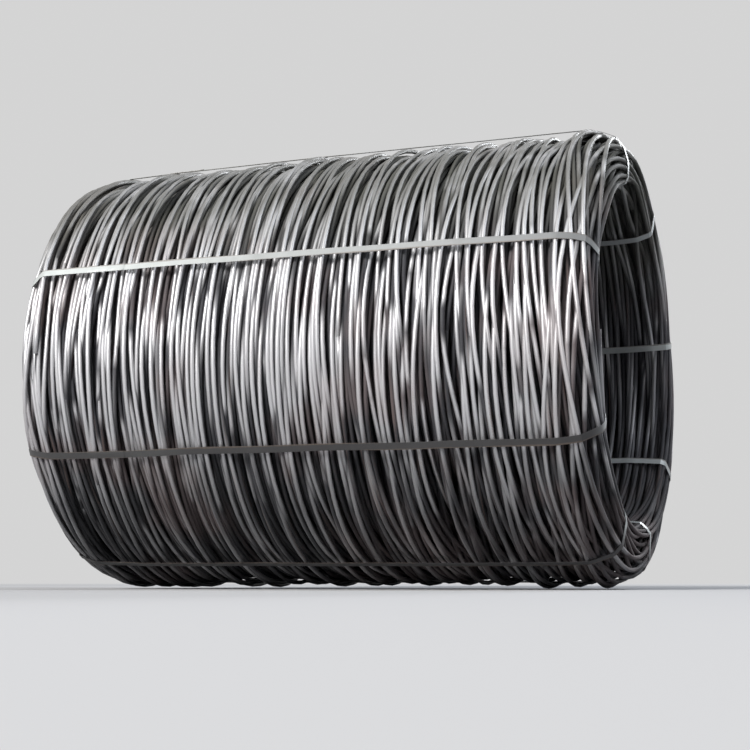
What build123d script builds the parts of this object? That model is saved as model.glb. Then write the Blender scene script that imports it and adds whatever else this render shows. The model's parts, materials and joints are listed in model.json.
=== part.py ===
"""A coil of hot rolled wire rod with its steel straps, lying on its side. Millimetres.

X runs along the bore, Z is up, and the origin is on the floor under the middle of the coil.
The front is the side towards -Y, and the end that shows from there is the one towards +X.
"""
import os
from math import cos, radians, sin, sqrt

from build123d import *

# Coil
OUTER_DIAMETER = 1250
BORE_DIAMETER = 900
COIL_LENGTH = 1600

# Rounding of each end, in rows of turns that step round from the outside and into the bore
SHOULDER_RADIUS = 95
SHOULDER_ROWS = 4
BORE_EDGE_RADIUS = 45
BORE_EDGE_ROWS = 3

# Turns of wire, as raised backs side by side on the flat of each end
WIRE_DIAMETER = 12
TURN_SPACING = 1
VALLEY_DEPTH = 6

# Bunches of turns along the outside, with furrows between them a little unevenly spaced
BUNCHES = 12
BUNCH_UNEVENNESS = 0.2
BUNCH_PHASE = 2.4
FURROW_DEPTH = 14

# Straps, each angle up from the front as seen from the +X end
STRAP_ANGLES = (-26, 21, 79, 124, 169, 214, 257, 296)
STRAP_WIDTH = 19
STRAP_THICKNESS = 1
STRAP_SEAT = 0.8
LAP_LENGTH = 110
LAP_FROM_SHOULDER = 130

# Places that follow from the sizes
outer_radius = OUTER_DIAMETER / 2
bore_radius = BORE_DIAMETER / 2
half_length = COIL_LENGTH / 2
axis_centre = (0, 0, outer_radius)

# Each rounding leaves the wall room for the other one, and for a turn on the flat between them
wall = outer_radius - bore_radius
turn_pitch = WIRE_DIAMETER + TURN_SPACING
bore_edge_radius = min(BORE_EDGE_RADIUS, wall / 3)
shoulder_radius = min(SHOULDER_RADIUS, wall - bore_edge_radius - turn_pitch)
shoulder_start = half_length - shoulder_radius
bore_wall_end = half_length - bore_edge_radius
end_flat_outside = outer_radius - shoulder_radius
end_flat_inside = bore_radius + bore_edge_radius
shoulder_centre = (shoulder_start, end_flat_outside)
bore_edge_centre = (bore_wall_end, end_flat_inside)


def radial_plane(angle):
    """The plane through the coil's axis at this angle: x along the coil and y outwards."""
    outwards = Vector(0, -cos(radians(angle)), sin(radians(angle)))
    return Plane(origin=axis_centre, x_dir=(1, 0, 0), z_dir=Vector(1, 0, 0).cross(outwards))


def bunches():
    """The corners of the furrows and of the bunches' backs, from the far shoulder to the near one."""
    spacing = 2 * shoulder_start / BUNCHES
    shifts = [BUNCH_UNEVENNESS * sin(BUNCH_PHASE * i) for i in range(1, BUNCHES)]
    furrows = [spacing * (i + shift) - shoulder_start for i, shift in enumerate(shifts, start=1)]
    corners = [(furrows[0], outer_radius - FURROW_DEPTH)]
    for before, furrow in zip(furrows, furrows[1:]):
        corners.append(((before + furrow) / 2, outer_radius))
        corners.append((furrow, outer_radius - FURROW_DEPTH))
    return corners


def end_turns():
    """The corners of the valleys and of the turns' backs on an end, from the shoulder inwards."""
    flat = end_flat_outside - end_flat_inside
    count = max(1, round(flat / turn_pitch))
    corners = []
    for i in range(count):
        corners.append((half_length - VALLEY_DEPTH, end_flat_outside - flat * (i + 0.5) / count))
        if i < count - 1:
            corners.append((half_length, end_flat_outside - flat * (i + 1) / count))
    return corners


def rounded_rows(centre, radius, start, rows):
    """The corners of rows of turns that round a quarter, clockwise from this angle."""
    angles = [radians(start - 90 * i / rows) for i in range(rows + 1)]
    return [(centre[0] + radius * cos(a), centre[1] + radius * sin(a)) for a in angles]


# Wire, turned about the axis from the section of the ring's wall
with BuildPart() as wire_coil:
    with BuildSketch(radial_plane(90)):
        with BuildLine():
            # Outside, from the far end to the near one
            Polyline((-shoulder_start, outer_radius), *bunches(), (shoulder_start, outer_radius))
            # Near end, from the shoulder to the bore, and the far end as its mirror image
            shoulder = rounded_rows(shoulder_centre, shoulder_radius, 90, SHOULDER_ROWS)
            bore_edge = rounded_rows(bore_edge_centre, bore_edge_radius, 0, BORE_EDGE_ROWS)
            near_end = Polyline(*shoulder, *end_turns(), *bore_edge)
            mirror(near_end, about=Plane.YZ)
            # Bore
            Line((-bore_wall_end, bore_radius), (bore_wall_end, bore_radius))
        make_face()
    revolve(axis=Axis(axis_centre, (1, 0, 0)))
wire_coil.part.label = "wire_coil"

# Strap, a band round the ring's wall, with its ends lapped on the outside near the far end
bore_sagitta = bore_radius - sqrt(bore_radius**2 - (STRAP_WIDTH / 2) ** 2)


def band_outline(clear):
    """The outline round the ring's wall, bent over its rows of turns and this clear of them."""
    sunk_centre = (bore_wall_end, end_flat_inside - bore_sagitta)
    with BuildSketch() as outline:
        with BuildLine():
            shoulder = rounded_rows(shoulder_centre, shoulder_radius + clear, 90, SHOULDER_ROWS)
            bore_edge = rounded_rows(sunk_centre, bore_edge_radius + clear, 0, BORE_EDGE_ROWS)
            near_end = Polyline(*shoulder, *bore_edge)
            far_end = mirror(near_end, about=Plane.YZ)
            Line(near_end @ 0, far_end @ 0)
            Line(near_end @ 1, far_end @ 1)
        make_face()
    return outline.sketch


band_inside = band_outline(STRAP_SEAT)
band_outside = band_outline(STRAP_SEAT + STRAP_THICKNESS)
lap_middle = LAP_FROM_SHOULDER + LAP_LENGTH / 2 - shoulder_start
lap_radius = outer_radius + STRAP_SEAT + 1.5 * STRAP_THICKNESS

straps = []
for number, angle in enumerate(STRAP_ANGLES, start=1):
    with BuildPart() as strap:
        with BuildSketch(radial_plane(angle)):
            add(band_outside)
            add(band_inside, mode=Mode.SUBTRACT)
            with Locations((lap_middle, lap_radius)):
                Rectangle(LAP_LENGTH, STRAP_THICKNESS)
        extrude(amount=STRAP_WIDTH / 2, both=True)
    strap.part.label = f"strap_{number}"
    straps.append(strap.part)

os.makedirs("parts", exist_ok=True)
for piece in [wire_coil.part, *straps]:
    export_step(piece, f"parts/{piece.label}.step")
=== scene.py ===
"""A strapped coil of hot rolled wire rod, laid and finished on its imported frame. Metres.

X runs along the bore, Z is up, the front is the side towards -Y, and the floor is at z = 0.
Angles run up from the front as seen from the +X end.
"""
import json
import math

import bmesh
import bpy
import numpy as np
from mathutils import Matrix, Vector
from mathutils.geometry import convex_hull_2d


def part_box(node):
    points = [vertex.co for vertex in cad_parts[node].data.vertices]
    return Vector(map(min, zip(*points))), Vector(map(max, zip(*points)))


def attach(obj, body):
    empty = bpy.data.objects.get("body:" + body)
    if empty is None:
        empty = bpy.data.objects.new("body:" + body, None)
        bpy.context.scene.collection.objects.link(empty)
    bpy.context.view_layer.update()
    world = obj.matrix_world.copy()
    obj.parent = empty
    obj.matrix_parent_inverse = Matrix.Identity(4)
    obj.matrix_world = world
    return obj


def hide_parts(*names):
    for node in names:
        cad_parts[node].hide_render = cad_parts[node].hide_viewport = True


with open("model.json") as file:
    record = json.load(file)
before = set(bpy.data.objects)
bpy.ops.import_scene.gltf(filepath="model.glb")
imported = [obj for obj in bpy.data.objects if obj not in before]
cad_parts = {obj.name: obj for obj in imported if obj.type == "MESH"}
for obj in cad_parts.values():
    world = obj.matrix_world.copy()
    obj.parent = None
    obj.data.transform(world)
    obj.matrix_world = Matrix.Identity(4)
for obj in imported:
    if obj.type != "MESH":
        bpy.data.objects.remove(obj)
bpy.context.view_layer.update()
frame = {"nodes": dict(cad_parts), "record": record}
coil_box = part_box("wire_coil")

# Coil, with its sizes from the frame and the roundings of its slightly uneven ends
HALF_LENGTH = coil_box[1].x
OUTER_RADIUS = coil_box[1].z / 2
BORE_RADIUS = frame["record"]["mounts"][0]["dims"]["r_mm"] / 1000
AXIS_HEIGHT = OUTER_RADIUS
SHOULDER_RADIUS = 0.095
BORE_EDGE_RADIUS = 0.045
END_UNEVENNESS = 0.008

# Wire
WIRE_DIAMETER = 0.012
WIRE_SIDES = 6
STEPS = 72
TURNS = 760
SECTIONS = 5
SKIN = 0.0006
MERGE_DISTANCE = 1e-5

# Laying of the turns: each is a circle off the coil's centre, and its offset creeps round. Cells
# across the ring's wall keep how high the pile has grown.
LAY_SEED = 4
OFFSET_CREEP = math.radians(29)
OFFSET_WANDER = math.radians(11)
OFFSET_SPREAD = 0.18
OVAL = 0.004
WAVE_SHARE = 0.4
CELL = 0.003
STIFFNESS_PASSES = 4
LIFT_ROUNDS = 6
SETTLE_PASSES = 3
TOP_PASSES_ROUND = 8
TOP_PASSES_ACROSS = 40
BEND_PASSES = 6
END_CROWDING = 0.25

# Gaps between bunches of turns on the outside
GAP_SEED = 6
GAPS = 30
GAP_DEPTH = 0.029
GAP_WIDTH = 0.0128
GAP_UNEVENNESS = 0.25
GAP_WANDER = 0.014
GAP_REACH = 0.065

# Drawing of the bunches aside, away from the gaps
BUNCH_SHIFT = 0.011
BUNCH_SPREAD = 0.018
FREE_SHIFT = 0.6

# Squeezing of the bunches by a strap, which makes the gaps wider, deeper and more drawn aside
SQUEEZE_ANGLE = math.radians(11)
SQUEEZED_WIDTH = 0.9
SQUEEZED_DEPTH = 0.2
SQUEEZED_SHIFT = 1.6

# Outermost turns along the bottom, which the coil's weight presses level on the floor
REST_ANGLE = math.radians(10)
REST_REACH = 0.016

# Loose loops at the top of the near end, in arches between straps, with widths in degrees
LOOSE_SEED = 9
LOOSE_TURNS = 44
LOOSE_FROM = math.radians(84)
LOOSE_TO = math.radians(164)
LOOSE_LEAST = 0.2
LOOSE_SHARE = 0.9
LOOSE_WIDTHS = (10, 35)
ARCH_ANGLE = math.radians(40)
ARCH_POWER = 0.8

# Wear, with painted shade: paleness falls off with depth among the neighbours and is less on the
# ends and in the bore, which paints shade into the gaps, the ends and the bore
NEIGHBOUR = 0.016
WEAR_AND_SHADE_DEPTH = 0.013
INNER_WEAR_AND_SHADE = 0.45

# Grain along the wire, and the tone of each turn
TONE_SEED = 11
GRAIN_REPEAT = 50
GRAIN_ACROSS = 40

# Straps
STRAP_WIDTH = 0.019
STRAP_THICKNESS = 0.001
STRAP_SEAT = 0.0002
STRAP_LINES = 5
STRAP_STEP = 0.02
LEAST_STRAP_STEP = 0.0015
STRAP_WANDER = 0.0025
STRAP_RIPPLE = 0.001
STRAP_BEVEL = 0.0003
HULL_STEPS = 48
SHARP_ANGLE = math.radians(60)
SMOOTH_ANGLE = math.radians(30)

# Lap of each strap, with its notches and its lifted end
LAP_MIDDLE = -0.52
LAP_LENGTH = 0.11
LAP_ROWS = 22
LAP_GAP = 0.0001
LIFTED_ROWS = 3
LIFT = 0.0012
NOTCHED_ROWS = (6, 11, 16)
NOTCH_DEPTH = 0.003

lay_radius = (OUTER_RADIUS + BORE_RADIUS) / 2
lay_offset = (OUTER_RADIUS - BORE_RADIUS - WIRE_DIAMETER) / 2 - SKIN
wire_room = WIRE_DIAMETER / 2 + SKIN
strap_angles = {}
for name in frame["nodes"]:
    if name.startswith("strap_"):
        low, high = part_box(name)
        middle = (low + high) / 2
        strap_angles[name] = math.atan2(middle.z - AXIS_HEIGHT, -middle.y) % (2 * math.pi)


def smooth_round(values, passes):
    """Values at even steps round a circle, smoothed this many times."""
    for _ in range(passes):
        before, after = np.roll(values, 1, axis=0), np.roll(values, -1, axis=0)
        values = 0.25 * before + 0.5 * values + 0.25 * after
    return values


def smooth_across(values, passes):
    """Rows of values smoothed along each row, with their ends kept level."""
    for _ in range(passes):
        padded = np.pad(values, ((0, 0), (1, 1)), mode="edge")
        values = 0.25 * padded[:, :-2] + 0.5 * values + 0.25 * padded[:, 2:]
    return values


def lay_turns():
    """Lays closed turns one on another. Returns, a row for each turn, their radii and their
    levels, which run from -1 at the far end to 1 at the near end."""
    chance = np.random.default_rng(LAY_SEED)
    around = np.linspace(0, 2 * np.pi, STEPS, endpoint=False)
    columns = np.arange(STEPS)
    cells = BORE_RADIUS + CELL * np.arange(int((OUTER_RADIUS - BORE_RADIUS) / CELL) + 1)
    laid = np.full((STEPS, len(cells)), -WIRE_DIAMETER)
    radii = np.empty((TURNS + 1, STEPS))
    heights = np.empty((TURNS + 1, STEPS))
    heading = 0.0
    for turn in range(TURNS + 1):
        heading += OFFSET_CREEP + OFFSET_WANDER * chance.standard_normal()
        offset = lay_offset * (1 - OFFSET_SPREAD * chance.random() ** 2)
        oval = OVAL * chance.standard_normal() * np.cos(2 * around + 2 * np.pi * chance.random())
        wave = WAVE_SHARE * OVAL * chance.standard_normal()
        wave = wave * np.cos(3 * around + 2 * np.pi * chance.random())
        radius = lay_radius + offset * np.cos(around - heading) + oval + wave
        radius = np.clip(radius, lay_radius - lay_offset, lay_radius + lay_offset)
        aside = np.abs(cells[None, :] - radius[:, None])
        reach = np.sqrt(np.maximum(WIRE_DIAMETER**2 - aside**2, 0))
        under = np.where(aside < WIRE_DIAMETER, laid + reach, -np.inf).max(axis=1)
        height = under
        for _ in range(LIFT_ROUNDS):
            height = np.maximum(under, smooth_round(height, STIFFNESS_PASSES))
        height = smooth_round(height, SETTLE_PASSES)
        nearest = np.clip(np.round((radius - BORE_RADIUS) / CELL).astype(int), 0, len(cells) - 1)
        laid[columns, nearest] = np.maximum(laid[columns, nearest], height)
        radii[turn] = radius
        heights[turn] = height

    # The top of the pile, as a wire laid anywhere on it would find it
    apart = np.abs(cells[:, None] - cells[None, :])
    reach = np.sqrt(np.maximum(WIRE_DIAMETER**2 - apart**2, 0))
    top = np.where(apart < WIRE_DIAMETER, laid[:, None, :] + reach, -np.inf).max(axis=2)
    top = smooth_across(smooth_round(top, TOP_PASSES_ROUND), TOP_PASSES_ACROSS)
    place = (radii - BORE_RADIUS) / CELL
    cell = np.clip(place.astype(int), 0, len(cells) - 2)
    part = place - cell
    rise = (1 - part) * top[columns, cell] + part * top[columns, cell + 1]
    return radii, np.clip(2 * heights / rise - 1, -1, 1)


def end_reach(radius, angle):
    """How far along the axis the coil reaches here, inside its rounded and slightly uneven ends."""
    into_shoulder = np.maximum(radius - (OUTER_RADIUS - SHOULDER_RADIUS), 0)
    into_edge = np.maximum(BORE_RADIUS + BORE_EDGE_RADIUS - radius, 0)
    shoulder = SHOULDER_RADIUS - wire_room
    edge = BORE_EDGE_RADIUS - wire_room
    lost = shoulder - np.sqrt(np.maximum(shoulder**2 - np.minimum(into_shoulder, shoulder) ** 2, 0))
    lost += edge - np.sqrt(np.maximum(edge**2 - np.minimum(into_edge, edge) ** 2, 0))
    lost += END_UNEVENNESS * (0.5 + 0.3 * np.sin(3 * angle + 1) + 0.2 * np.sin(7 * angle))
    return HALF_LENGTH - wire_room - lost


def outermost_radius(along):
    """How far out from the axis the outermost turn lies here, round the shoulders too."""
    shoulder = SHOULDER_RADIUS - wire_room
    into_shoulder = np.clip(np.abs(along) - (HALF_LENGTH - SHOULDER_RADIUS), 0, shoulder)
    return OUTER_RADIUS - wire_room - shoulder + np.sqrt(shoulder**2 - into_shoulder**2)


def looseness(angle):
    """How loose the wire is here, from 0 to 1: only in the last turns, and between straps."""
    chance = np.random.default_rng(LOOSE_SEED)
    arch = np.abs(np.sin(np.pi * (angle - LOOSE_FROM) / ARCH_ANGLE)) ** ARCH_POWER
    held = np.where((angle > LOOSE_FROM) & (angle < LOOSE_TO), arch, 0)
    narrow, wide = LOOSE_WIDTHS
    slack = np.zeros((TURNS, len(angle)))
    for turn in range(TURNS - LOOSE_TURNS, TURNS):
        middle = LOOSE_FROM + (LOOSE_TO - LOOSE_FROM) * chance.random()
        width = math.radians(narrow + (wide - narrow) * chance.random())
        size = LOOSE_LEAST + (1 - LOOSE_LEAST) * chance.random()
        slack[turn] = size * held * np.exp(-((angle - middle) / width) ** 2)
    return slack


def bend_gently(values):
    """Values at every step of the wire, smoothed along its whole length."""
    run = np.append(values[:, :-1].ravel(), values[-1, -1])
    run = smooth_across(run[None, :], BEND_PASSES)[0]
    return np.stack([run[STEPS * turn:STEPS * (turn + 1) + 1] for turn in range(len(values))])


def bunching(x, angle):
    """How far the gaps between bunches press each point of the wire in, and how far the bunches
    draw it aside."""
    chance = np.random.default_rng(GAP_SEED)
    squeeze = np.zeros_like(angle)
    for strap_angle in strap_angles.values():
        off = (angle - strap_angle + np.pi) % (2 * np.pi) - np.pi
        squeeze = np.maximum(squeeze, np.exp(-(off / SQUEEZE_ANGLE) ** 2))
    width = GAP_WIDTH * (1 + SQUEEZED_WIDTH * squeeze)
    drawn = FREE_SHIFT + SQUEEZED_SHIFT * squeeze
    spacing = 2 * (HALF_LENGTH - 0.5 * SHOULDER_RADIUS) / GAPS
    depth = np.zeros_like(x)
    aside = np.zeros_like(x)
    for i in range(GAPS):
        phases = 2 * np.pi * chance.random(4)
        wander = 0.6 * np.sin(2 * angle + phases[0]) + 0.4 * np.sin(5 * angle + phases[1])
        place = i + 0.5 - GAPS / 2 + GAP_UNEVENNESS * chance.standard_normal()
        middle = spacing * place + GAP_WANDER * wander
        size = (0.4 + 0.6 * chance.random()) * (0.75 + 0.25 * np.sin(3 * angle + phases[2]))
        shape = np.exp(-((x - middle) / (width * (0.6 + 0.5 * size))) ** 4)
        depth = np.maximum(depth, GAP_DEPTH * size * (1 + SQUEEZED_DEPTH * squeeze) * shape)
        off = (x - middle) / BUNCH_SPREAD
        aside += BUNCH_SHIFT * size**2 * drawn * off * np.exp(-off * off)
    return depth, aside


def wind_turns():
    """Joins the laid turns to one wire. Returns, for each step of each turn, how far along the
    axis and how far out from it the wire lies, and how loose it is."""
    radii, levels = lay_turns()
    blend = np.linspace(0, 1, STEPS + 1)
    blend = blend * blend * (3 - 2 * blend)
    angle = np.linspace(0, 2 * np.pi, STEPS + 1)
    closed_radii = np.concatenate([radii, radii[:, :1]], axis=1)
    closed_levels = np.concatenate([levels, levels[:, :1]], axis=1)
    radius = (1 - blend) * closed_radii[:-1] + blend * closed_radii[1:]
    level = (1 - blend) * closed_levels[:-1] + blend * closed_levels[1:]
    loose = looseness(angle)
    radius += LOOSE_SHARE * loose * np.maximum(lay_radius + lay_offset - radius, 0)
    radius = bend_gently(radius)
    reach = end_reach(radius, angle)
    reach += LOOSE_SHARE * loose * (HALF_LENGTH - wire_room - reach)
    share = np.abs(level)
    along = np.sign(level) * (share + END_CROWDING * (share**4 - share**5)) * reach
    outermost = np.clip((radius - OUTER_RADIUS + GAP_REACH) / GAP_DEPTH, 0, 1) * (1 - loose)
    depth, aside = bunching(along, angle)
    radius -= depth * outermost
    along = bend_gently(np.clip(along + aside * outermost, -reach, reach))
    room = np.maximum(outermost_radius(along) - radius, 0)
    underneath = np.exp(-((angle - 1.5 * np.pi) / REST_ANGLE) ** 2)
    pressed = underneath * np.clip(2 - 2 * room / REST_REACH, 0, 1)
    return along, bend_gently(radius + pressed * room), loose


def wear_and_gap_shade_of(wire_x, wire_radius):
    """How far each point of the wire stands out of its neighbours, from 0 to 1: pale wear where it
    stands out, and painted shade where it lies deeper, between turns, on the ends and in the bore.
    """
    wear_and_painted_shading = np.empty_like(wire_x)
    for step in range(wire_x.shape[1]):
        x, radius = wire_x[:, step], wire_radius[:, step]
        beside = np.abs(x[:, None] - x[None, :]) < NEIGHBOUR
        outer = np.where(beside, radius[None, :], -np.inf).max(axis=1) - radius
        inner = radius - np.where(beside, radius[None, :], np.inf).min(axis=1)
        level = np.abs(radius[:, None] - radius[None, :]) < NEIGHBOUR
        ahead = np.where(level, x[None, :], -np.inf).max(axis=1) - x
        behind = x - np.where(level, x[None, :], np.inf).min(axis=1)
        # Pale where a turn stands out, as wear; dark where it lies deeper, as painted shade in the
        # gaps, with less paleness on the ends and in the bore
        outside = 1 - outer / WEAR_AND_SHADE_DEPTH
        elsewhere = 1 - np.minimum(np.minimum(inner, ahead), behind) / WEAR_AND_SHADE_DEPTH
        wear_and_painted_shading[:, step] = np.clip(np.maximum(outside, INNER_WEAR_AND_SHADE * elsewhere), 0, 1)
    return wear_and_painted_shading


def order_faces(bm):
    """Sorts the faces by their corners, because an operator can leave them in any order."""
    bm.verts.index_update()
    bm.faces.sort(key=lambda face: sum(vert.index**3 for vert in face.verts))


def mesh_of(bm, name):
    """A new mesh of this name from a bmesh, which is freed."""
    mesh = bpy.data.meshes.new(name)
    bm.to_mesh(mesh)
    bm.free()
    return mesh


def one_turn():
    """A turn of wire as a coarse spring: its steps are a metre apart, and so is its radius."""
    bm = bmesh.new()
    upright = Matrix.Rotation(math.pi / 2, 4, "X")
    bmesh.ops.create_circle(bm, segments=WIRE_SIDES, radius=WIRE_DIAMETER / 2, matrix=upright)
    bmesh.ops.translate(bm, verts=bm.verts, vec=(0, 0, 1))
    bmesh.ops.spin(
        bm, geom=bm.verts[:] + bm.edges[:], cent=(0, 0, 0), axis=(1, 0, 0), dvec=(1, 0, 0),
        angle=2 * math.pi, steps=STEPS, use_merge=False,
    )
    bmesh.ops.recalc_face_normals(bm, faces=bm.faces)
    order_faces(bm)
    return mesh_of(bm, "one_turn")


def mesh_points(mesh):
    """A mesh's points as rows of x, y and z."""
    points = np.empty(3 * len(mesh.vertices))
    mesh.vertices.foreach_get("co", points)
    return points.reshape(-1, 3)


def set_attribute(mesh, name, kind, values):
    """Gives each point of a mesh a value of this name."""
    key = "value" if kind == "FLOAT" else "vector"
    mesh.attributes.new(name, kind, "POINT").data.foreach_set(key, np.ravel(values))


def add_piece(name, mesh, slot, *replaced):
    """Puts a finished mesh into the scene as a piece that rides with the coil."""
    piece = bpy.data.objects.new(name, mesh)
    bpy.context.scene.collection.objects.link(piece)
    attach(piece, "root")
    if replaced:
        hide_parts(*replaced)


class Value:
    """A number that varies over a surface. Python's operators on it add Math nodes."""

    def __init__(self, finish, socket):
        self.finish = finish
        self.socket = socket

    def math(self, operation, first, second):
        return self.finish.node("ShaderNodeMath", {"operation": operation}, {0: first, 1: second})

    def __add__(self, other):
        return self.math("ADD", self, other)

    def __radd__(self, other):
        return self.math("ADD", other, self)

    def __sub__(self, other):
        return self.math("SUBTRACT", self, other)

    def __rsub__(self, other):
        return self.math("SUBTRACT", other, self)

    def __mul__(self, other):
        return self.math("MULTIPLY", self, other)

    def __rmul__(self, other):
        return self.math("MULTIPLY", other, self)


class Finish:
    """The nodes of a material or of the world, in the making."""

    def __init__(self, owner):
        owner.use_nodes = True
        self.owner = owner
        self.tree = owner.node_tree
        self.tree.nodes.clear()

    def node(self, kind, settings=None, sockets=None, output=0):
        """Adds a node with its settings, then sets or links its sockets. Gives its output."""
        made = self.tree.nodes.new(kind)
        for key, value in (settings or {}).items():
            setattr(made, key, value)
        for key, value in (sockets or {}).items():
            if isinstance(value, Value):
                self.tree.links.new(value.socket, made.inputs[key])
            else:
                made.inputs[key].default_value = value
        return Value(self, made.outputs[output]) if made.outputs else made

    def mix(self, amount, first, second):
        """Blends two colours."""
        sockets = {"Factor": amount, 6: first, 7: second}
        return self.node("ShaderNodeMix", {"data_type": "RGBA"}, sockets, output=2)

    def noise(self, place, scale, detail):
        """Fractal noise from 0 to 1."""
        sockets = {"Vector": place, "Scale": scale, "Detail": detail, "Roughness": 0.55}
        return self.node("ShaderNodeTexNoise", None, sockets)

    def step(self, value, low, high):
        """0 below low, 1 above high, and smooth between them."""
        sockets = {"Value": value, "From Min": low, "From Max": high}
        return self.node("ShaderNodeMapRange", {"interpolation_type": "SMOOTHSTEP"}, sockets)

    def attribute(self, name, output="Fac"):
        """A value that the mesh carries under this name."""
        return self.node("ShaderNodeAttribute", {"attribute_name": name}, None, output)

    def place(self):
        """The point on the piece."""
        return self.node("ShaderNodeTexCoord", None, None, "Object")

    def part_of_place(self, axis):
        """How far the point is along X, Y or Z."""
        return self.node("ShaderNodeSeparateXYZ", None, {0: self.place()}, axis)

    def vector(self, operation, *sockets, output=0):
        """A Vector Math node."""
        settings = {"operation": operation}
        return self.node("ShaderNodeVectorMath", settings, dict(enumerate(sockets)), output)

    def from_axis(self):
        """How far the point is from the coil's axis."""
        off = self.vector("SUBTRACT", self.place(), (0, 0, AXIS_HEIGHT))
        return self.vector("LENGTH", self.vector("MULTIPLY", off, (0, 1, 1)), output="Value")

    def bump(self, height, strength, distance):
        """A slight relief in the shading."""
        sockets = {"Strength": strength, "Distance": distance, "Height": height}
        return self.node("ShaderNodeBump", None, sockets)

    def seen(self):
        """1 for what the camera, a reflection or a clear material sees, 0 for other light."""
        rays = ("Is Camera Ray", "Is Glossy Ray", "Is Transmission Ray")
        camera, glossy, through = [self.node("ShaderNodeLightPath", output=ray) for ray in rays]
        return self.step(camera + glossy + through, 0.0, 1.0)

    def surface(self, constants, **varying):
        """Ends a material in a Principled surface."""
        sockets = dict(constants)
        sockets.update({key.replace("_", " "): value for key, value in varying.items()})
        return self.end_in(self.node("ShaderNodeBsdfPrincipled", None, sockets))

    def end_in(self, shader):
        """Ends the nodes in this shader."""
        world = isinstance(self.owner, bpy.types.World)
        kind = "ShaderNodeOutputWorld" if world else "ShaderNodeOutputMaterial"
        self.node(kind, None, {"Surface": shader})
        return self.owner


def rolled_wire():
    """Mill scale on hot rolled wire: blue black in the gaps, which is partly painted shade, rubbed
    pale where turns stand out, with painted light on the loose loops and painted shade low down,
    and in places flushed, rusty or dusty, with painted shade on the dusty top."""
    finish = Finish(bpy.data.materials.new("rolled_wire"))
    tone = finish.attribute("tone")
    wear_and_painted_shading = finish.attribute("wear_and_painted_shading")
    along = finish.attribute("lengthwise", "Vector")
    height = finish.part_of_place("Z")
    streaks = finish.noise(along, 9.0, 4.0)
    patches = finish.noise(finish.place(), 6.0, 3.0)
    grit = finish.noise(finish.place(), 320.0, 2.0)
    bunches = finish.noise(finish.vector("MULTIPLY", finish.place(), (27, 3, 3)), 1.0, 1.5)
    # Painted shade, darker towards the bottom of the coil, which also keeps the turns there from
    # looking rubbed
    painted_low_shade = 1 - finish.step(height + 0.15 * (patches - 0.5), 0.18, 0.52)
    # Paleness of the turns: wear, tone per bunch and per turn, and streaks, with the painted shade
    # of the gaps, ends, bore and bottom and the painted light of the loose loops
    wear_and_shading = wear_and_painted_shading + 1.3 * (bunches - 0.5) + 0.3 * (tone - 0.5) + 0.4 * (streaks - 0.5)
    rubbed_with_painted_shading = finish.step(wear_and_shading - 0.45 * painted_low_shade, 0.16, 0.84)
    scale_colour = finish.mix(grit, (0.03, 0.031, 0.037, 1), (0.078, 0.078, 0.086, 1))
    colour = finish.mix(rubbed_with_painted_shading, scale_colour, (0.73, 0.73, 0.742, 1))
    colour = finish.mix(0.5 * painted_low_shade, colour, (0.035, 0.034, 0.036, 1))
    flushed = finish.step(finish.noise(finish.place(), 4.0, 2.0) + 0.2 * streaks, 0.58, 0.78)
    colour = finish.mix(0.22 * flushed, colour, (0.45, 0.33, 0.31, 1))
    rust = finish.step(finish.noise(along, 3.1, 5.0) + 0.3 * grit, 0.72, 0.95)
    colour = finish.mix(0.45 * rust, colour, (0.24, 0.13, 0.085, 1))
    # Dust on the top, which also darkens it as painted shade
    dust_and_top_shade = finish.step(height, 0.76, 1.06) * finish.step(patches + 0.4 * streaks, 0.3, 0.75)
    colour = finish.mix(0.74 * dust_and_top_shade, colour, (0.12, 0.12, 0.098, 1))
    return finish.surface(
        {"Specular IOR Level": 0.6},
        Base_Color=colour,
        Roughness=0.76 - 0.32 * rubbed_with_painted_shading + 0.1 * rust + 0.08 * dust_and_top_shade,
        Metallic=0.6 * rubbed_with_painted_shading,
        Normal=finish.bump(grit + streaks, 0.25, 0.0008),
    )


def strap_steel():
    """Zinc coated strapping: pale and dull, scuffed, stained and rusting along its cut edges,
    greyer towards the near end, and with painted shade on the outside of the straps low down.
    """
    finish = Finish(bpy.data.materials.new("strap_steel"))
    place = finish.place()
    along = finish.part_of_place("X")
    scuffs = finish.noise(place, 34.0, 4.0)
    grain = finish.noise(place, 400.0, 2.0)
    outside = finish.step(finish.from_axis(), 0.5, 0.6)
    # Painted shade on the outside of the straps low down, which also adds to their stains
    painted_strap_shade = (1 - finish.step(finish.part_of_place("Z"), 0.36, 0.62)) * outside
    # Greyer towards the near end, outside the bore
    greyer_towards_near_end = 0.6 * finish.step(along, -0.75, 0.3) + 0.25 * finish.step(along, 0.3, 0.75)
    stain_and_low_shade = finish.step(finish.noise(place, 5.0, 4.0) + 0.4 * painted_strap_shade, 0.5, 0.95)
    across = finish.attribute("across")
    aside = finish.node("ShaderNodeMath", {"operation": "ABSOLUTE"}, {0: across})
    edge = finish.step(aside + 0.5 * (scuffs - 0.5), 0.82, 1.0)
    colour = finish.mix(scuffs, (0.60, 0.64, 0.62, 1), (0.84, 0.87, 0.84, 1))
    colour = finish.mix(greyer_towards_near_end * outside, colour, (0.19, 0.19, 0.195, 1))
    colour = finish.mix(0.75 * stain_and_low_shade, colour, (0.14, 0.135, 0.125, 1))
    # Painted shade on the straps low down
    colour = finish.mix(0.85 * painted_strap_shade, colour, (0.045, 0.043, 0.045, 1))
    colour = finish.mix(0.6 * edge, colour, (0.19, 0.15, 0.12, 1))
    return finish.surface(
        {"Metallic": 0.1},
        Base_Color=colour,
        Roughness=0.42 + 0.2 * stain_and_low_shade + 0.1 * edge,
        Normal=finish.bump(scuffs + 0.4 * grain, 0.2, 0.0004),
    )


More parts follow.
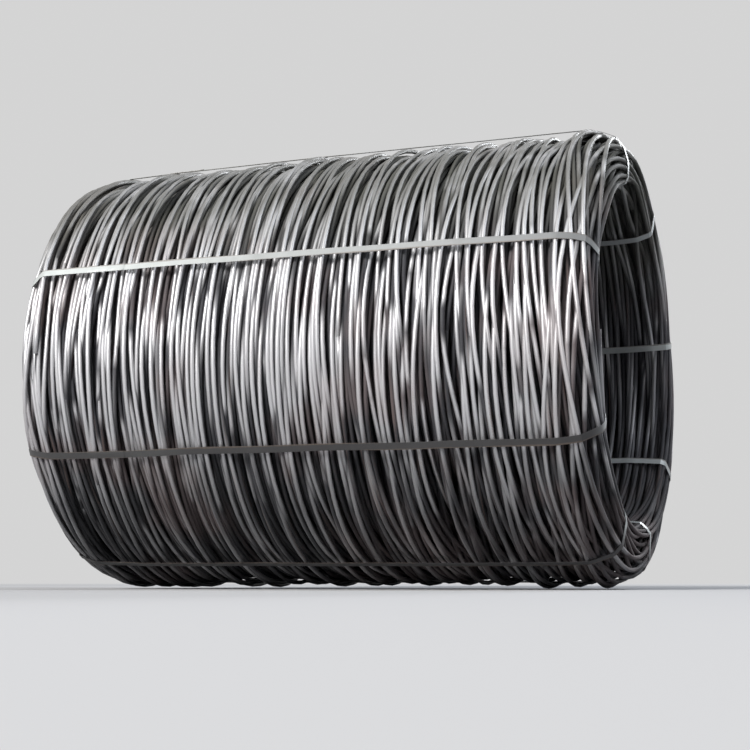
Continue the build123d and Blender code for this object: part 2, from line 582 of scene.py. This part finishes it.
def wind_wire(wire_x, wire_radius, loose):
    """Winds the wire in sections that meet end to end, each closed at both ends."""
    turn = one_turn()
    spring = mesh_points(turn)
    step = np.round(spring[:, 0]).astype(int)
    off_x = spring[:, 0] - step
    off_radius = np.hypot(spring[:, 1], spring[:, 2]) - 1
    angle = 2 * np.pi * step / STEPS
    share = (step / STEPS)[None, :]
    # The loose loops at the near end are made fully pale: painted light on them
    wear_and_painted_shading = np.maximum(wear_and_gap_shade_of(wire_x, wire_radius), loose)
    tones = np.random.default_rng(TONE_SEED).random(TURNS + 1)
    tones = 0.6 * tones + 0.4 * np.roll(tones, 3)
    finish = rolled_wire()
    per_section = TURNS // SECTIONS
    for section in range(SECTIONS):
        bm = bmesh.new()
        for _ in range(per_section):
            bm.from_mesh(turn)
        mesh = mesh_of(bm, f"wire_turns_{section + 1}")
        first = section * per_section
        rows = np.arange(first, first + per_section)
        x = wire_x[rows][:, step] + off_x
        r = wire_radius[rows][:, step] + off_radius
        points = np.stack([x, -r * np.cos(angle), AXIS_HEIGHT + r * np.sin(angle)], axis=-1)
        mesh.vertices.foreach_set("co", points.ravel())
        from_tone, to_tone = tones[rows][:, None], tones[rows + 1][:, None]
        set_attribute(mesh, "tone", "FLOAT", (1 - share) * from_tone + share * to_tone)
        set_attribute(mesh, "wear_and_painted_shading", "FLOAT", wear_and_painted_shading[rows][:, step])
        run = 2 * np.pi * lay_radius * (rows[:, None] + share)
        grain = run % GRAIN_REPEAT, GRAIN_ACROSS * off_x, GRAIN_ACROSS * off_radius
        grain = np.stack(np.broadcast_arrays(*grain), axis=-1)
        set_attribute(mesh, "lengthwise", "FLOAT_VECTOR", grain)
        bm = bmesh.new()
        bm.from_mesh(mesh)
        bmesh.ops.remove_doubles(bm, verts=bm.verts, dist=MERGE_DISTANCE)
        bmesh.ops.holes_fill(bm, edges=bm.edges, sides=WIRE_SIDES)
        bmesh.ops.recalc_face_normals(bm, faces=bm.faces)
        for face in bm.faces:
            face.smooth = len(face.verts) == 4
        bm.to_mesh(mesh)
        bm.free()
        mesh.materials.append(finish)
        add_piece(mesh.name, mesh, "wire", "wire_coil")
    bpy.data.meshes.remove(turn)


def grown_hull(points, clear):
    """The hull of these points, grown by this much all round, as an array of its corners."""
    hull = [points[i] for i in convex_hull_2d(points)]
    turn = [2 * math.pi * i / HULL_STEPS for i in range(HULL_STEPS)]
    grown = [(x + clear * math.cos(a), y + clear * math.sin(a)) for x, y in hull for a in turn]
    return np.array([grown[i] for i in convex_hull_2d(grown)])


def strap_run(wire_x, wire_radius, angle):
    """The path of a taut strap's underside, as rows of distance along and out from the axis."""
    points = []
    for side in np.linspace(-STRAP_WIDTH / 2, STRAP_WIDTH / 2, STRAP_LINES):
        place = (angle / (2 * np.pi) + side / (2 * np.pi * lay_radius)) % 1 * STEPS
        step = int(place)
        part = place - step
        x = (1 - part) * wire_x[:, step] + part * wire_x[:, step + 1]
        radius = (1 - part) * wire_radius[:, step] + part * wire_radius[:, step + 1]
        points += list(zip(x.tolist(), np.sqrt(radius**2 - side**2).tolist()))
    corners = grown_hull(points, WIRE_DIAMETER / 2 + STRAP_SEAT)
    closed = np.concatenate([corners, corners[:1]])
    run = np.concatenate([[0], np.cumsum(np.hypot(*np.diff(closed, axis=0).T))])
    marks = np.union1d(run[:-1], np.arange(0, run[-1], STRAP_STEP))
    marks = marks[np.concatenate([[True], np.diff(marks) > LEAST_STRAP_STEP])]
    return np.stack([np.interp(marks, run, along) for along in closed.T], axis=-1)


def strap_band(wire_x, wire_radius, angle):
    """A flat strap drawn tight round the ring's wall at this angle, with its ends lapped."""
    outwards = Vector((0, -math.cos(angle), math.sin(angle)))
    across = Vector((0, math.sin(angle), math.cos(angle)))
    axis_point = Vector((0, 0, AXIS_HEIGHT))

    def point(x, out, side):
        wander = STRAP_WANDER * math.sin(4.1 * x + 9 * angle)
        wander += STRAP_RIPPLE * math.sin(17 * x + angle)
        return Vector((x, 0, 0)) + axis_point + out * outwards + (side + wander) * across

    # Band
    path = strap_run(wire_x, wire_radius, angle)
    bm = bmesh.new()
    corners = [bm.verts.new(point(x, out, -STRAP_WIDTH / 2)) for x, out in path.tolist()]
    loop = [bm.edges.new((a, b)) for a, b in zip(corners, corners[1:] + corners[:1])]
    grown = bmesh.ops.extrude_edge_only(bm, edges=loop)["geom"]
    moved = [item for item in grown if isinstance(item, bmesh.types.BMVert)]
    bmesh.ops.translate(bm, verts=moved, vec=STRAP_WIDTH * across)
    order_faces(bm)
    bmesh.ops.recalc_face_normals(bm, faces=bm.faces)
    bmesh.ops.solidify(bm, geom=bm.faces[:], thickness=-STRAP_THICKNESS)

    # Lap, on the outside near the far end
    outside = path[path[:, 1] > lay_radius]
    outside = outside[np.argsort(outside[:, 0])]
    lap = bmesh.ops.create_grid(bm, x_segments=LAP_ROWS, y_segments=2, size=0.5)["verts"]
    for vert in lap:
        row = round((vert.co.x + 0.5) * LAP_ROWS)
        x = LAP_MIDDLE + LAP_LENGTH * vert.co.x
        lift = LIFT * max(0, row - LAP_ROWS + LIFTED_ROWS) / LIFTED_ROWS
        out = float(np.interp(x, outside[:, 0], outside[:, 1])) + STRAP_THICKNESS + LAP_GAP + lift
        notch = NOTCH_DEPTH if row in NOTCHED_ROWS else 0
        vert.co = point(x, out, vert.co.y * (STRAP_WIDTH - 2 * notch))
    lap_faces = list(dict.fromkeys(face for vert in lap for face in vert.link_faces))
    bmesh.ops.solidify(bm, geom=lap_faces, thickness=-STRAP_THICKNESS)

    # Edges
    bmesh.ops.recalc_face_normals(bm, faces=bm.faces)
    sharp = [edge for edge in bm.edges if edge.calc_face_angle(0) > SHARP_ANGLE]
    bmesh.ops.bevel(
        bm, geom=sharp, offset=STRAP_BEVEL, affect="EDGES", segments=1, profile=0.5, material=-1,
        clamp_overlap=True,
    )
    order_faces(bm)
    for edge in bm.edges:
        edge.smooth = edge.calc_face_angle(0) < SMOOTH_ANGLE
    for face in bm.faces:
        face.smooth = True
    sides = [(vert.co - axis_point).dot(across) / (STRAP_WIDTH / 2) for vert in bm.verts]
    mesh = mesh_of(bm, "strap")
    set_attribute(mesh, "across", "FLOAT", np.array(sides))
    return mesh


def draw_straps(wire_x, wire_radius):
    """Draws a strap round the wall over each of the frame's straps."""
    steel = strap_steel()
    for name, angle in strap_angles.items():
        mesh = strap_band(wire_x, wire_radius, angle)
        mesh.name = name.replace("strap", "taut_strap")
        mesh.materials.append(steel)
        add_piece(mesh.name, mesh, "strap", name)


def set_stage():
    """A plain pale floor that runs out into a pale surround, and soft lamps."""
    backdrop = (0.66, 0.66, 0.66, 1)
    bm = bmesh.new()
    bmesh.ops.create_grid(bm, x_segments=1, y_segments=1, size=40)
    mesh = mesh_of(bm, "floor")
    floor = bpy.data.objects.new("floor", mesh)
    bpy.context.scene.collection.objects.link(floor)
    pale = Finish(bpy.data.materials.new("pale_floor"))
    seen = pale.seen()
    near = pale.node("ShaderNodeMixShader", None, {
        0: seen,
        1: pale.node("ShaderNodeBsdfDiffuse", None, {"Color": (0.16, 0.16, 0.17, 1)}),
        2: pale.node("ShaderNodeBsdfDiffuse", None, {"Color": (0.68, 0.68, 0.68, 1)}),
    })
    away = pale.vector("LENGTH", pale.place(), output="Value")
    mesh.materials.append(pale.end_in(pale.node("ShaderNodeMixShader", None, {
        0: pale.step(away, 2.0, 8.0) * seen,
        1: near,
        2: pale.node("ShaderNodeEmission", None, {"Color": backdrop}),
    })))

    surround = Finish(bpy.data.worlds.new("surround"))
    dim = {"Color": (0.80, 0.87, 1.0, 1), "Strength": 0.11}
    bpy.context.scene.world = surround.end_in(surround.node("ShaderNodeMixShader", None, {
        0: surround.seen(),
        1: surround.node("ShaderNodeBackground", None, dim),
        2: surround.node("ShaderNodeBackground", None, {"Color": backdrop}),
    }))

    def lamp(name, place, size, power, colour):
        data = bpy.data.lights.new(name, "AREA")
        data.shape = "DISK"
        data.size = size
        data.energy = power
        data.color = colour
        light = bpy.data.objects.new(name, data)
        light.location = place
        towards = Vector((0, 0, AXIS_HEIGHT)) - Vector(place)
        light.rotation_euler = towards.to_track_quat("-Z", "Y").to_euler()
        bpy.context.scene.collection.objects.link(light)

    lamp("key", (-4.0, -14.9, 9.3), 6.0, 3000, (1.0, 0.985, 0.98))
    lamp("top", (0.0, -2.0, 12.0), 6.0, 60, (0.96, 1.0, 0.97))
    lamp("side", (7.5, 0.5, 8.5), 4.0, 320, (0.85, 0.9, 1.0))
    lamp("back", (2.0, 12.0, 6.0), 4.0, 700, (0.93, 0.96, 1.0))


def set_camera():
    """The camera stands low in front, a little towards the near end."""
    azimuth = math.radians(20.8)
    distance = 4.35
    height = 0.025
    aim = Vector((0.03, 0, 0.61))
    data = bpy.data.cameras.new("camera")
    data.sensor_width = 36
    data.lens = 73
    data.clip_end = 200
    camera = bpy.data.objects.new("camera", data)
    camera.location = (distance * math.sin(azimuth), -distance * math.cos(azimuth), height)
    camera.rotation_euler = (aim - camera.location).to_track_quat("-Z", "Y").to_euler()
    bpy.context.scene.collection.objects.link(camera)
    bpy.context.scene.camera = camera
    bpy.context.scene.view_settings.view_transform = "Standard"


along_axis, from_axis, slack = wind_turns()
wind_wire(along_axis, from_axis, slack)
draw_straps(along_axis, from_axis)
set_stage()
set_camera()
